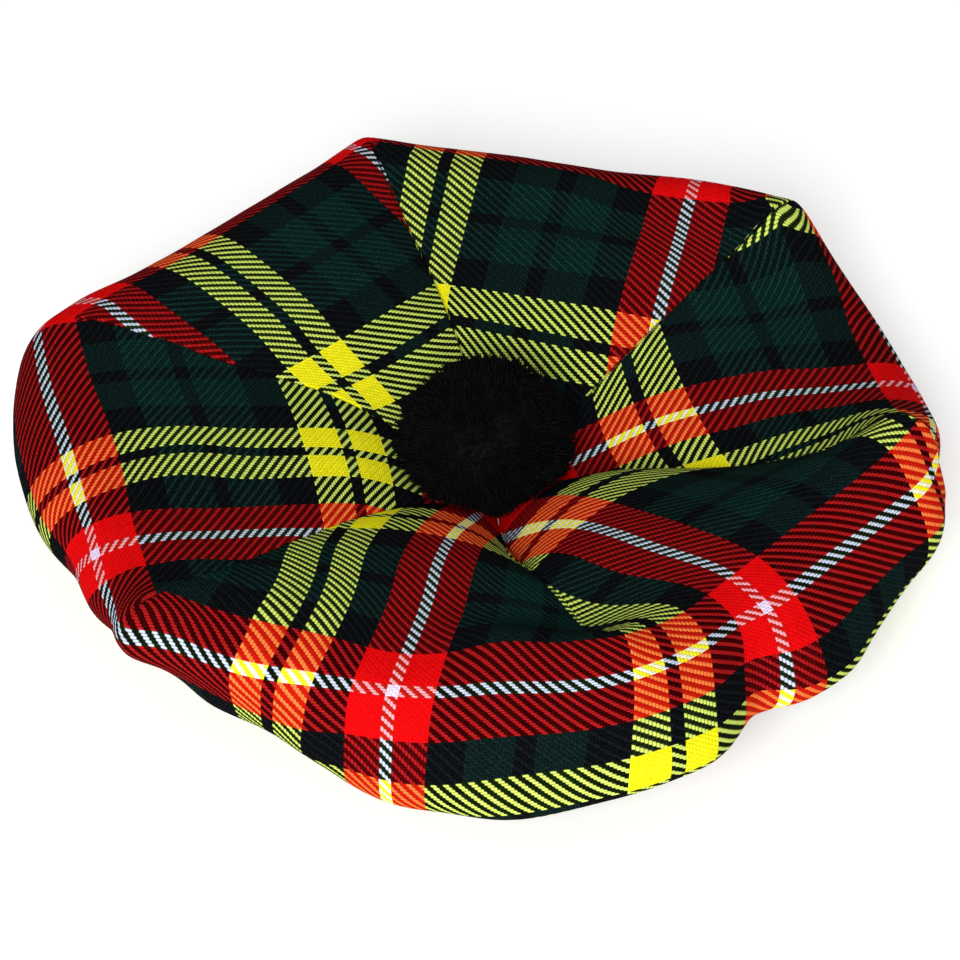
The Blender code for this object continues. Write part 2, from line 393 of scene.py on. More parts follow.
class Finish:
    """A material whose nodes are added one call at a time; most calls return the node's output."""

    def __init__(self, name):
        self.material = bpy.data.materials.new(name)
        self.material.use_nodes = True
        self.tree = self.material.node_tree
        self.shader = self.tree.nodes["Principled BSDF"]

    def node(self, kind, inputs=(), **settings):
        return add_node(self.tree, kind, inputs, **settings)

    def sum(self, operation, *values):
        return self.node("ShaderNodeMath", dict(enumerate(values)), operation=operation).outputs[0]

    def choose(self, share, first, second):
        """A number between first, where share is 0, and second, where it is 1."""
        mixed = self.node("ShaderNodeMix", {0: share, 2: first, 3: second}, data_type="FLOAT")
        return mixed.outputs[0]

    def blend(self, share, first, second):
        """A colour between first, where share is 0, and second, where it is 1."""
        mixed = self.node("ShaderNodeMix", {0: share, 6: first, 7: second}, data_type="RGBA")
        return mixed.outputs[2]

    def spread(self, value, from_low, from_high, to_low, to_high):
        inputs = {1: from_low, 2: from_high, 3: to_low, 4: to_high}
        return self.node("ShaderNodeMapRange", {0: value, **inputs}).outputs[0]

    def mottle(self, place, kind):
        """Noise, and the uneven tone that is made of it."""
        value = self.node("ShaderNodeTexNoise", {
            "Vector": place, "Scale": kind.scale, "Detail": kind.detail, "Roughness": kind.roughness,
        }).outputs[0]
        return value, self.spread(value, kind.low, kind.high, kind.dark, kind.light)

    def bands(self, at, rows):
        """A colour and an alpha for each stretch of 0 to 1: rows are (start, colour with alpha)."""
        ramp = self.node("ShaderNodeValToRGB", {0: at})
        ramp.color_ramp.interpolation = "CONSTANT"
        elements = ramp.color_ramp.elements
        elements.remove(elements[1])
        for i, (start, color) in enumerate(rows):
            element = elements[0] if i == 0 else elements.new(start)
            element.position = start
            element.color = color
        return ramp.outputs

    def toned(self, color, tone):
        """A colour made lighter or darker by a tone."""
        scaled = self.node("ShaderNodeVectorMath", {0: color, "Scale": tone}, operation="SCALE")
        return scaled.outputs[0]

    def cover(self, color, roughness, shine):
        feed(self.tree, self.shader.inputs["Base Color"], color)
        self.shader.inputs["Roughness"].default_value = roughness
        self.shader.inputs["Specular IOR Level"].default_value = shine

    def raise_by(self, height, strength, distance):
        """Relief that is too fine for the mesh."""
        inputs = {"Strength": strength, "Distance": distance, "Height": height}
        bump = self.node("ShaderNodeBump", inputs)
        feed(self.tree, self.shader.inputs["Normal"], bump.outputs[0])


# ---------- Tartan cloth ----------

# Each yarn's colour where it crosses white, yellow, red and dark yarns, and which of these it is
Yarn = namedtuple("Yarn", "over_white over_yellow over_red over_dark kind")
WHITE, YELLOW, RED, DARK = 0.0, 0.1, 0.5, 1.0
YARNS = {
    "yellow": Yarn(
        (0.88, 0.82, 0.012), (0.88, 0.82, 0.012), (0.93, 0.20, 0.045), (0.62, 0.76, 0.14), YELLOW),
    "white": Yarn(
        (0.80, 0.65, 0.86), (0.84, 0.80, 0.60), (0.90, 0.38, 0.43), (0.56, 0.63, 0.76), WHITE),
    "red": Yarn(
        (0.50, 0.008, 0.003), (0.50, 0.008, 0.003), (0.72, 0.003, 0.004), (0.36, 0.009, 0.010), RED),
    "green": Yarn(
        (0.004, 0.011, 0.002), (0.004, 0.011, 0.002), (0.032, 0.001, 0.001), (0.0030, 0.0150, 0.0125),
        DARK),
    "black": Yarn(
        (0.004, 0.007, 0.002), (0.004, 0.007, 0.002), (0.032, 0.0005, 0.001), (0.0028, 0.0034, 0.0042),
        DARK),
}

# The sett from the white line on, with the number of threads across a gore and out along it
Stripe = namedtuple("Stripe", "yarn across")
ACROSS_SETT = [Stripe(*row) for row in (
    ("white", 4), ("red", 11),
    ("black", 12), ("green", 15), ("black", 6), ("green", 15), ("black", 12),
    ("yellow", 10), ("black", 4), ("yellow", 10),
    ("black", 12), ("red", 11),
)]
OUTWARD_SETT = [Stripe(*row) for row in (
    ("white", 4), ("red", 17),
    ("black", 15), ("yellow", 16), ("black", 5), ("yellow", 16),
    ("black", 16), ("green", 20), ("black", 7), ("green", 20), ("black", 15),
    ("red", 16),
)]
ACROSS_REPEAT = 118.5 * MM
OUTWARD_REPEAT = 121.7 * MM

# How far out the white line runs round the crown
WHITE_LINE_ALONG = 136.0 * MM

# How far threads stray from their course, in threads, and how high they stand
WANDER_SCALE = 700.0
THREAD_WANDER = 0.22
THREAD_RELIEF = 0.25 * MM
THREAD_ROUNDNESS = 2.5
THREAD_GROOVE = 0.3
FIBRE_RELIEF = 0.25

# The ribs that the floats make: how smoothly they slant, where their edges lie, and how much of the
# yarn below shows between the beads and through a dark thread over another
RIB_SMOOTHNESS = 0.66
RIB_EDGE = 1.15
THIN_RIB_EDGE = 0.93
RIB_SOFTNESS = 0.3
BEAD_SHARE = 0.7
BEAD_GROOVE = 0.26
DARK_COVER = 0.72

# Tones of the threads, of their fibres and of the grain of the dark yarns, and the painted shade of the
# gaps between floats; on dark yarns the tops of the floats get a painted highlight, weft floats are
# painted lighter and warp floats darker
THREAD_TONES = (0.93, 1.11)
FIBRES_IN_TWILL = Mottle(3200.0, 3.0, 0.6, 0.25, 0.75, 0.80, 1.14)
DARK_GRAIN = Mottle(1500.0, 2.0, 0.6, 0.3, 0.7, 0.35, 1.8)
# Painted shade in the gaps between floats
GAP_HEIGHT = 0.6
GAP_SHADE = 0.60
# Painted shade in the gaps between dark floats and a painted highlight on their tops
DARK_GAP_HEIGHT = 0.9
DARK_GAP_SHADE = 0.35
DARK_TOP_PAINTED_HIGHLIGHT = 1.5
# Dark weft floats painted lighter and dark warp floats painted darker
DARK_WARP_PAINTED_SHADE = 0.74
DARK_WEFT_PAINTED_LIGHT = 1.36

# Added to a weft thread's number, so that no warp thread has the same tone
WEFT_NUMBERS = 500.0


def sett_rows(sett, part):
    """Start and colour of each stripe, as shares of one repeat of the sett."""
    threads = sum(stripe.across for stripe in sett)
    rows, at = [], 0
    for stripe in sett:
        yarn = YARNS[stripe.yarn]
        rows.append((at / threads, (*getattr(yarn, part), yarn.kind)))
        at += stripe.across
    return rows


def tartan_finish():
    """Two-and-two twill: each thread passes over two and under two, one step on in each row."""
    finish = Finish("tartan twill")
    cloth_map = finish.node("ShaderNodeUVMap", uv_map="cloth").outputs[0]
    wander_noise = {"Vector": cloth_map, "Scale": WANDER_SCALE}
    wander = finish.node("ShaderNodeTexNoise", wander_noise).outputs["Color"]
    wander = finish.node("ShaderNodeSeparateXYZ", {0: wander})
    flat = finish.node("ShaderNodeSeparateXYZ", {0: cloth_map})

    def thread_place(axis, sett, repeat):
        """Thread number and place within the thread, across the threads of one direction."""
        threads = sum(stripe.across for stripe in sett)
        place = finish.sum("MULTIPLY_ADD", flat.outputs[axis], threads / repeat, sett[0].across / 2)
        strayed = finish.sum("SUBTRACT", wander.outputs[axis], 0.5)
        place = finish.sum("MULTIPLY_ADD", strayed, THREAD_WANDER, place)
        number = finish.sum("FLOOR", place)
        share = finish.sum("FRACT", finish.sum("DIVIDE", finish.sum("ADD", number, 0.5), threads))
        return number, finish.sum("SUBTRACT", place, number), share

    warp, warp_side, warp_share = thread_place(0, ACROSS_SETT, ACROSS_REPEAT)
    weft, weft_side, weft_share = thread_place(1, OUTWARD_SETT, OUTWARD_REPEAT)
    # Floats of neighbouring threads make slanting ribs: the warp's and the weft's lie in turn, and
    # off_rib is how far a place is from the middle of its own rib, from 0 to 1 at its edge
    slant = finish.sum("SUBTRACT", warp_side, weft_side)
    slant = finish.sum("MULTIPLY_ADD", slant, RIB_SMOOTHNESS, finish.sum("SUBTRACT", warp, weft))
    from_warp_rib = finish.sum("PINGPONG", finish.sum("SUBTRACT", slant, 0.5), 2.0)
    weft_on_top = finish.sum("GREATER_THAN", from_warp_rib, 1.0)
    from_weft_rib = finish.sum("SUBTRACT", 2.0, from_warp_rib)
    off_rib = finish.choose(weft_on_top, from_warp_rib, from_weft_rib)
    side = finish.choose(weft_on_top, warp_side, weft_side)
    off_middle = finish.sum("ABSOLUTE", finish.sum("MULTIPLY_ADD", side, 2.0, -1.0))
    round_thread = finish.sum("SUBTRACT", 1.0, finish.sum("POWER", off_middle, THREAD_ROUNDNESS))
    round_rib = finish.sum("SUBTRACT", 1.0, finish.sum("POWER", off_rib, THREAD_ROUNDNESS))
    grooved = finish.spread(round_thread, 0.0, 1.0, THREAD_GROOVE, 1.0)
    height = finish.sum("MULTIPLY", round_rib, grooved)

    # A thread takes its colour from its own yarn and from the kind of yarn that it crosses
    def crossing_color(share, sett, other_kind):
        color = finish.bands(share, sett_rows(sett, "over_white"))[0]
        for part, lighter, kind in (
            ("over_yellow", WHITE, YELLOW), ("over_red", YELLOW, RED), ("over_dark", RED, DARK),
        ):
            is_kind = finish.sum("GREATER_THAN", other_kind, (lighter + kind) / 2)
            color = finish.blend(is_kind, color, finish.bands(share, sett_rows(sett, part))[0])
        return color

    warp_kind = finish.bands(warp_share, sett_rows(ACROSS_SETT, "over_white"))[1]
    weft_kind = finish.bands(weft_share, sett_rows(OUTWARD_SETT, "over_white"))[1]
    warp_color = crossing_color(warp_share, ACROSS_SETT, weft_kind)
    weft_color = crossing_color(weft_share, OUTWARD_SETT, warp_kind)
    upper = finish.blend(weft_on_top, warp_color, weft_color)
    lower = finish.blend(weft_on_top, weft_color, warp_color)

    # A thread over a darker one shows as a thinner rib, with the darker one between its beads
    upper_kind = finish.choose(weft_on_top, warp_kind, weft_kind)
    lower_kind = finish.choose(weft_on_top, weft_kind, warp_kind)
    darker = finish.sum("SUBTRACT", lower_kind, (WHITE + RED) / 2)
    thin = finish.sum("LESS_THAN", upper_kind, darker)
    edge = finish.choose(thin, RIB_EDGE, THIN_RIB_EDGE)
    cover = finish.spread(off_rib, finish.sum("SUBTRACT", edge, RIB_SOFTNESS), edge, 1.0, 0.0)
    beads = finish.spread(round_thread, 0.0, BEAD_SHARE, BEAD_GROOVE, 1.0)
    cover = finish.sum("MULTIPLY", cover, finish.choose(thin, 1.0, beads))
    upper_dark = finish.sum("GREATER_THAN", upper_kind, (RED + DARK) / 2)
    lower_dark = finish.sum("GREATER_THAN", lower_kind, (RED + DARK) / 2)
    both_dark = finish.sum("MULTIPLY", upper_dark, lower_dark)
    cover = finish.sum("MULTIPLY", cover, finish.choose(both_dark, 1.0, DARK_COVER))
    color = finish.blend(cover, lower, upper)

    # Threads differ a little, fibres differ more; painted shade darkens the gaps between floats, dark
    # floats get a painted highlight on their tops, and dark weft floats are painted lighter than dark
    # warp floats
    thread_number = finish.choose(weft_on_top, warp, finish.sum("ADD", weft, WEFT_NUMBERS))
    thread_tone = finish.node("ShaderNodeTexWhiteNoise", {"W": thread_number}, noise_dimensions="1D")
    tone = finish.spread(thread_tone.outputs["Value"], 0.0, 1.0, *THREAD_TONES)
    fibre, fibre_tone = finish.mottle(cloth_map, FIBRES_IN_TWILL)
    tone = finish.sum("MULTIPLY", tone, fibre_tone)
    # Painted shade: the lower a place lies between the floats, the darker its colour
    painted_float_gap_shade = finish.spread(height, 0.0, GAP_HEIGHT, GAP_SHADE, 1.0)
    # Painted shade in the gaps between dark floats and a painted highlight on their tops, then their
    # grain
    dark_painted_light_and_grain = finish.spread(height, 0.0, DARK_GAP_HEIGHT, DARK_GAP_SHADE, DARK_TOP_PAINTED_HIGHLIGHT)
    dark_painted_light_and_grain = finish.sum("MULTIPLY", dark_painted_light_and_grain, finish.mottle(cloth_map, DARK_GRAIN)[1])
    # Painted light: dark weft floats lighter and dark warp floats darker, as though light caught the
    # one direction of fibre more
    painted_rib_light = finish.choose(weft_on_top, DARK_WARP_PAINTED_SHADE, DARK_WEFT_PAINTED_LIGHT)
    dark_painted_light_and_grain = finish.sum("MULTIPLY", dark_painted_light_and_grain, painted_rib_light)
    tone = finish.sum("MULTIPLY", tone, finish.choose(upper_dark, painted_float_gap_shade, dark_painted_light_and_grain))
    surface_height = finish.sum("MULTIPLY_ADD", fibre, FIBRE_RELIEF, height)
    finish.cover(finish.toned(color, tone), roughness=0.9, shine=0.008)
    finish.raise_by(surface_height, strength=0.8, distance=THREAD_RELIEF)
    return finish.material


# ---------- Gores ----------

# Length and height of the cloth's soft waves, and of the puckers beside a seam
BROAD_WAVE = 48 * MM
BROAD_RISE = 0.9 * MM
SMALL_WAVE = 17 * MM
SMALL_RISE = 0.30 * MM
PUCKER_WAVE = 9 * MM
PUCKER_RISE = 0.45 * MM
PUCKER_REACH = 7 * MM


def smooth_step(low, high, value):
    """0 up to the low value and 1 from the high one, with a smooth way between them."""
    t = min(max((value - low) / (high - low), 0.0), 1.0)
    return t * t * (3 - 2 * t)


def fold_rise(place, along):
    """How far the rim's soft folds push the cloth out at a place on the strip."""
    rise = 0.0
    for fold in FOLDS:
        start = Vector((fold.place, fold.along))
        run = Vector((fold.to_place, fold.to_along)) - start
        here = Vector((place, along)) - start
        share = min(max(here.dot(run) / run.length_squared, 0.0), 1.0)
        rise += fold.rise * math.exp(-(here - run * share).length_squared / fold.width ** 2)
    return rise


def softness(point, seam, from_seam, along, place):
    """How far the cloth stands off its smooth shape: folds, soft waves, and puckers at a seam."""
    broad = noise.noise(point / BROAD_WAVE) * BROAD_RISE
    small = noise.noise(point / SMALL_WAVE) * SMALL_RISE
    pucker = noise.noise(Vector((along / PUCKER_WAVE, seam, 0.5))) * PUCKER_RISE
    return fold_rise(place, along) + broad + small + pucker * math.exp(-from_seam / PUCKER_REACH)


def pushed(place, along):
    """How far the pushes move the cloth at a place on the strip."""
    move = Vector()
    for push in PUSHES:
        away = ((place - push.place) / push.width) ** 2 + ((along - push.along) / push.length) ** 2
        move += push.move * math.exp(-away)
    return move


def pulled(place, along):
    """How far the pattern is pulled at a place on the strip, between the pulls that are listed."""
    total, weight = Vector((0.0, 0.0)), PULL_REST
    for pull in PULLS:
        away = ((place - pull.place) ** 2 + (along - pull.along) ** 2) / PULL_REACH ** 2
        share = math.exp(-away)
        total += share * Vector((pull.by_along_strip, pull.out))
        weight += share
    return total / weight


def unbroken(corner, along):
    """Share of a corner that is unbroken cloth: 0 where it is sewn, and 1 round the rim."""
    closed = smooth_step(corner.dart_end - DART_FADE, corner.dart_end, along)
    return closed * (1 - smooth_step(UNDER_DARTS, UNDER_DARTS + DART_FADE, along))


def rounding(reach, distance):
    """How much of its turn pulls a corner in, when the turn is spread over a reach each way."""
    if reach == 0 or distance >= reach:
        return 0.0
    x = max(distance, 0.0) / reach
    return reach * ((1 - x) ** 2 / 4 - (1 + math.cos(math.pi * x)) / (2 * math.pi ** 2))


class Gore:
    """One gore's three lines and its stretch of the strip."""

    names = list(GORE_LINES)
    seams = list(SEAM_LINES)

    def __init__(self, name):
        self.name = name
        self.number = self.names.index(name)
        self.right_seam = self.seams[self.number]
        self.left_seam = self.seams[(self.number + 1) % len(self.seams)]
        middle = GORE_LINES[name]
        right, left = SEAM_LINES[self.right_seam], SEAM_LINES[self.left_seam]
        if left.outer < right.outer:
            left = left._replace(inner=left.inner + 360, outer=left.outer + 360)
        self.lines = [(line, walk_line(line, line is not middle)) for line in (right, middle, left)]
        cloth = GORE_CLOTH[name]
        self.place = cloth.place
        self.left = cloth.left
        before = GORE_CLOTH[self.names[self.number - 1]]
        self.right = FIRST_RIGHT if self.number == 0 else cloth.place - before.place - before.left

    def places(self, along):
        return [line_place(*pair, along) for pair in self.lines]

    def edge_direction(self, side, along):
        """Direction of the cloth where it meets the seam on a side, counter-clockwise."""
        places = self.places(along)
        edge = crown_point(self.name, places, side, along)
        near = crown_point(self.name, places, side * (1 - EDGE_STEP), along)
        return ((edge - near) * side).normalized()

    def length_out(self, pair, along):
        """True length of the cloth along a line, which below the rim is less than the step count."""
        if along <= RIM_LENGTH:
            return along
        steps = [RIM_LENGTH + (along - RIM_LENGTH) * k / LENGTH_STEPS for k in range(LENGTH_STEPS + 1)]
        flat = [line_place(*pair, step).yz for step in steps]
        return RIM_LENGTH + sum((after - before).length for before, after in zip(flat, flat[1:]))

    def strip_across(self, across, half, rims):
        """Place across the gore on its flat cloth: the strip's width round the rim, less at a dart."""
        strip, rim = (self.left, rims[1]) if across > 0 else (self.right, rims[0])
        narrow = (half + strip - math.hypot(half - strip, NARROWING)) / 2
        edge = narrow + (strip - narrow) * rim
        return across * half + (edge - half) * across * abs(across) ** (SPREAD_POWER - 1)


def seam_edge(half, rim):
    """Columns beside a seam, as distance and depth: rolled, or flat where the cloth runs on."""
    sewn = 1 - rim
    roll = min(ROLL_RADIUS, ROLL_SHARE * half)
    columns = [(SEAM_GAP * sewn, (roll + min(FLANGE_DEPTH, roll)) * sewn)]
    for k in range(ROLL_STEPS + 1):
        angle = math.pi / 2 * (1 - k / ROLL_STEPS)
        rolled = SEAM_GAP + roll * (1 - math.sin(angle))
        flat = roll * (k + 1) / (ROLL_STEPS + 1)
        columns.append((flat * rim + rolled * sewn, roll * (1 - math.cos(angle)) * sewn))
    return columns


def row_columns(half, rims):
    """Distance from the right-hand seam, and depth below the face, of each column of a row."""
    right, left = [seam_edge(half, rim) for rim in rims]
    start, end = right[-1][0], 2 * half - left[-1][0]
    middle = [(start + (end - start) * k / MIDDLE_COLUMNS, 0.0) for k in range(1, MIDDLE_COLUMNS)]
    return right + middle + [(2 * half - distance, depth) for distance, depth in reversed(left)]


Row = namedtuple("Row", "along half columns places rims turns reaches lengths")


def gore_row(gore, neighbours, along):
    """What every point of one row of a gore needs: its lines, its corners and its cloth's length."""
    corners = [CORNERS[gore.right_seam], CORNERS[gore.left_seam]]
    rims = [unbroken(corner, along) for corner in corners]
    before, after = neighbours
    turns = [
        gore.edge_direction(-1, along) - before.edge_direction(1, along),
        after.edge_direction(-1, along) - gore.edge_direction(1, along),
    ]
    half = half_width(along)
    reaches = [
        corner.turn * rim
        * smooth_step(corner.dart_end - DART_FADE, corner.dart_end + TURN_GROWTH, along)
        if rim > 0 else 0.0
        for corner, rim in zip(corners, rims)
    ]
    lengths = [gore.length_out(pair, along) for pair in gore.lines]
    return Row(along, half, row_columns(half, rims), gore.places(along), rims, turns, reaches, lengths)


def make_gore(gore, neighbours, finish):
    """One gore: a fine grid over its three lines, rolled in at its seams and given its thickness."""
    row_count = round((CLOTH_LENGTH - FIRST_ROW) / ROW_STEP)
    rows = [
        gore_row(gore, neighbours, FIRST_ROW + (CLOTH_LENGTH - FIRST_ROW) * row / row_count)
        for row in range(row_count + 1)
    ]
    column_count = len(rows[0].columns) - 1
    bm = bmesh.new()
    bmesh.ops.create_grid(bm, x_segments=column_count, y_segments=row_count, size=1.0)
    stray = {}
    for vert in bm.verts:
        row = rows[round((vert.co.y + 1) / 2 * row_count)]
        distance, depth = row.columns[round((vert.co.x + 1) / 2 * column_count)]
        across = distance / row.half - 1
        from_seams = (distance, 2 * row.half - distance)
        vert.co = crown_point(gore.name, row.places, across, row.along)
        for turn, reach, from_seam in zip(row.turns, row.reaches, from_seams):
            vert.co += turn * rounding(reach, from_seam)
        place = gore.place + gore.strip_across(across, row.half, row.rims)
        vert.co += pushed(place, row.along)
        out = through_three(*row.lengths, across)
        seam = gore.number if across < 0 else (gore.number + 1) % len(CORNERS)
        drift = pulled(place, row.along)
        stray[vert] = (place + drift.x, out + drift.y, depth, seam, min(from_seams), row.along)
    bmesh.ops.reverse_faces(bm, faces=bm.faces)
    bm.normal_update()
    for vert, (place, out, depth, seam, from_seam, along) in stray.items():
        vert.co += vert.normal * (softness(vert.co, seam, from_seam, along, place) - depth)
    for edge in bm.edges:
        edge.smooth = not edge.is_boundary

    cloth_map = bm.loops.layers.uv.new("cloth")
    for face in bm.faces:
        corners = [Vector(stray[loop.vert][:2]) for loop in face.loops]
        for loop, (place, out) in zip(face.loops, corners):
            loop[cloth_map].uv = (place, out - WHITE_LINE_ALONG)

    piece = add_piece(gore.name + "_cloth", bm, finish)
    wall = piece.modifiers.new("cloth thickness", "SOLIDIFY")
    wall.thickness = CLOTH_THICKNESS
    wall.offset = -1.0
    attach(piece, "root")
    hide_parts(gore.name)
    return piece


def add_piece(name, bm, finish):
    """A smooth-shaded object of a bmesh, in one finish."""
    mesh = bpy.data.meshes.new(name)
    bm.to_mesh(mesh)
    bm.free()
    mesh.materials.append(finish)
    mesh.shade_smooth()
    piece = bpy.data.objects.new(name, mesh)
    bpy.context.scene.collection.objects.link(piece)
    return piece


# ---------- Headband ----------

BAND_THICKNESS = 2.2 * MM
BAND_CLEARANCE = 0.1 * MM
BAND_EDGE_RADIUS = 0.9 * MM
BAND_TURNS = 192
BAND_THREAD = 0.6 * MM
BAND_RELIEF = 0.15 * MM
BAND_BLACK = (0.011, 0.012, 0.014)
FIBRES_IN_BAND = Mottle(2600.0, 3.0, 0.5, 0.25, 0.75, 0.6, 1.5)


def band_finish():
    """Plain black weave with painted shade between its threads, on a map of the band's length and
    height in metres.
    """
    finish = Finish("black band weave")
    place = finish.node("ShaderNodeUVMap", uv_map="cloth").outputs[0]
    flat = finish.node("ShaderNodeSeparateXYZ", {0: place})

    def across_thread(axis):
        """Thread number, and how far a place is from its thread's middle, from 0 to 1."""
        at = finish.sum("DIVIDE", flat.outputs[axis], BAND_THREAD)
        off_middle = finish.sum("MULTIPLY_ADD", finish.sum("FRACT", at), 2.0, -1.0)
        return finish.sum("FLOOR", at), finish.sum("ABSOLUTE", off_middle)

    upright_number, off_upright = across_thread(0)
    level_number, off_level = across_thread(1)
    numbers = finish.sum("ADD", upright_number, level_number)
    checker = finish.sum("FLOORED_MODULO", numbers, 2.0)
    off_middle = finish.choose(checker, off_upright, off_level)
    height = finish.sum("SUBTRACT", 1.0, finish.sum("POWER", off_middle, 2.0))
    # Painted shade: the gaps between the band's threads are darker
    painted_band_gap_shade = finish.spread(height, 0.0, 0.6, 0.4, 1.0)
    tone = finish.sum("MULTIPLY", painted_band_gap_shade, finish.mottle(place, FIBRES_IN_BAND)[1])
    finish.cover(finish.toned(BAND_BLACK, tone), roughness=0.85, shine=0.15)
    finish.raise_by(height, strength=0.7, distance=BAND_RELIEF)
    return finish.material


def make_headband(finish):
    """A band of doubled cloth, folded at its lower edge."""
    outer, inner = BAND_RADIUS - BAND_CLEARANCE, BAND_RADIUS - BAND_THICKNESS
    bm = bmesh.new()
    corners = [(outer, BAND_HEIGHT), (outer, 0.0), (inner, 0.0), (inner, BAND_HEIGHT)]
    ring = [bm.verts.new((radius, 0.0, height)) for radius, height in corners]
    for i, vert in enumerate(ring):
        bm.edges.new((ring[i - 1], vert))
    bmesh.ops.bevel(bm, geom=ring, offset=BAND_EDGE_RADIUS, affect="VERTICES",
                    segments=4, profile=0.5, material=-1)
    bmesh.ops.spin(bm, geom=bm.verts[:] + bm.edges[:], cent=(0, 0, 0), axis=(0, 0, 1),
                   angle=2 * math.pi, steps=BAND_TURNS, use_merge=True)
    bmesh.ops.remove_doubles(bm, verts=bm.verts, dist=0.01 * MM)
    bmesh.ops.recalc_face_normals(bm, faces=bm.faces)

    # The spin adds its faces in any order, so they are put in the order of their points
    bm.verts.index_update()

    def face_number(face):
        numbers = [vert.index for vert in face.verts]
        return min(numbers) * len(bm.verts) + max(numbers)

    bm.faces.sort(key=face_number)
    cloth_map = bm.loops.layers.uv.new("cloth")
    for face in bm.faces:
        middle = face.calc_center_median()
        turn = math.atan2(middle.y, middle.x)
        side = 1.0 if face.normal.dot(Vector((middle.x, middle.y, 0.0))) > 0 else -1.0
        for loop in face.loops:
            point = loop.vert.co
            angle = math.atan2(point.y, point.x)
            angle += 2 * math.pi * round((turn - angle) / (2 * math.pi))
            radius = math.hypot(point.x, point.y)
            loop[cloth_map].uv = (angle * BAND_RADIUS, side * (point.z + radius))
    band = add_piece("headband_cloth", bm, finish)
    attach(band, "root")
    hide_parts("headband")


# ---------- Pompom ----------

POMPOM_MIDDLE = Vector((-3.2 * MM, -0.9 * MM, 33.8 * MM))
POMPOM_TRIM = 2.6 * MM
POMPOM_CLEARANCE = 0.25 * MM
SEAM_BRIDGE = 1.6 * MM
HIGH_ABOVE = 200.0 * MM
YARN_BLACK = (0.0026, 0.0026, 0.0029)
YARN_RELIEF = 0.1 * MM
YARN_CLUMPS = Mottle(260.0, 2.0, 0.5, 0.3, 0.7, 0.55, 1.6)
FIBRES_IN_YARN = Mottle(2200.0, 2.0, 0.5, 0.25, 0.75, 0.5, 1.6)

# The core's share of the pompom's size, and how uneven the core and the ball that the ends stand on
# are: how long their waves are, and how high, in millimetres
CORE_SHARE = 0.80
CORE_WAVE = 7 * MM
CORE_RISE = 1.2
ROOT_WAVE = 13 * MM
ROOT_RISE = 2.4

# Cut ends of yarn and single fibres: how many, how they stand, how long they are, and how far the
# longest reach past the trimmed ball
Tuft = namedtuple("Tuft", "count sides steps length root_radius tip_radius bend tilt kinds past")
YARN_ENDS = Tuft(12400, 3, 2, 12.0 * MM, 0.16 * MM, 0.23 * MM, 2.4 * MM, 0.26, 9, 0.0)
FIBRES = Tuft(8800, 3, 3, 8.6 * MM, 0.09 * MM, 0.05 * MM, 2.6 * MM, 0.7, 9, 0.6 * MM)

# Smallest and largest size of an end, how far it strays from its bend, the turn from one kind's bend
# to the next one's, and how far a tip's point stands out, in radii of the tip
END_SIZES = (0.86, 1.06)
END_WANDER = 0.25
KIND_TURN = 2.4
TIP_POINT = 0.8

# The ends stand in clumps that lean together, this wide and this far over
CLUMP_SIZE = 9 * MM
CLUMP_LEAN = 2.6


def yarn_finish():
    """Matt black yarn, a little uneven from clump to clump and from fibre to fibre."""
    finish = Finish("black pompom yarn")
    place = finish.node("ShaderNodeTexCoord").outputs["Object"]
    fibre, fibre_tone = finish.mottle(place, FIBRES_IN_YARN)
    tone = finish.sum("MULTIPLY", finish.mottle(place, YARN_CLUMPS)[1], fibre_tone)
    finish.cover(finish.toned(YARN_BLACK, tone), roughness=0.8, shine=0.05)
    finish.raise_by(fibre, strength=0.5, distance=YARN_RELIEF)
    return finish.material


def make_end(tuft, kind, holder):
    """One bent yarn end or fibre, standing on the origin."""
    draw = random.Random(kind * 31 + tuft.sides)
    bm = bmesh.new()
    bmesh.ops.create_circle(bm, segments=tuft.sides, radius=tuft.root_radius)
    edges = bm.edges[:]
    turn = kind * KIND_TURN
    lean = Vector((math.cos(turn), math.sin(turn), 0.0)) * tuft.bend
    center = Vector()
    for step in range(1, tuft.steps + 1):
        share = step / tuft.steps
        raised = bmesh.ops.extrude_edge_only(bm, edges=edges)["geom"]
        ring = [part for part in raised if isinstance(part, bmesh.types.BMVert)]
        edges = [part for part in raised if isinstance(part, bmesh.types.BMEdge)
                 and all(vert in ring for vert in part.verts)]
        stray = Vector((draw.uniform(-1, 1), draw.uniform(-1, 1), 0))
        goal = lean * share * share + stray * tuft.bend * END_WANDER
        goal.z = tuft.length * share
        before = tuft.root_radius + (tuft.tip_radius - tuft.root_radius) * (step - 1) / tuft.steps
        after = tuft.root_radius + (tuft.tip_radius - tuft.root_radius) * share
        bmesh.ops.translate(bm, verts=ring, vec=goal - center)
        bmesh.ops.scale(bm, verts=ring, vec=(after / before, after / before, 1.0),
                        space=Matrix.Translation(-goal))
        center = goal
    tip = bmesh.ops.extrude_edge_only(bm, edges=edges)["geom"]
    tip_ring = [part for part in tip if isinstance(part, bmesh.types.BMVert)]
    point = center + Vector((0.0, 0.0, tuft.tip_radius * TIP_POINT))
    bmesh.ops.pointmerge(bm, verts=tip_ring, merge_co=point)
    bmesh.ops.recalc_face_normals(bm, faces=bm.faces)
    mesh = bpy.data.meshes.new("yarn end")
    bm.to_mesh(mesh)
    bm.free()
    mesh.shade_smooth()
    end = bpy.data.objects.new("end_%d_%d" % (tuft.sides, kind), mesh)
    holder.objects.link(end)


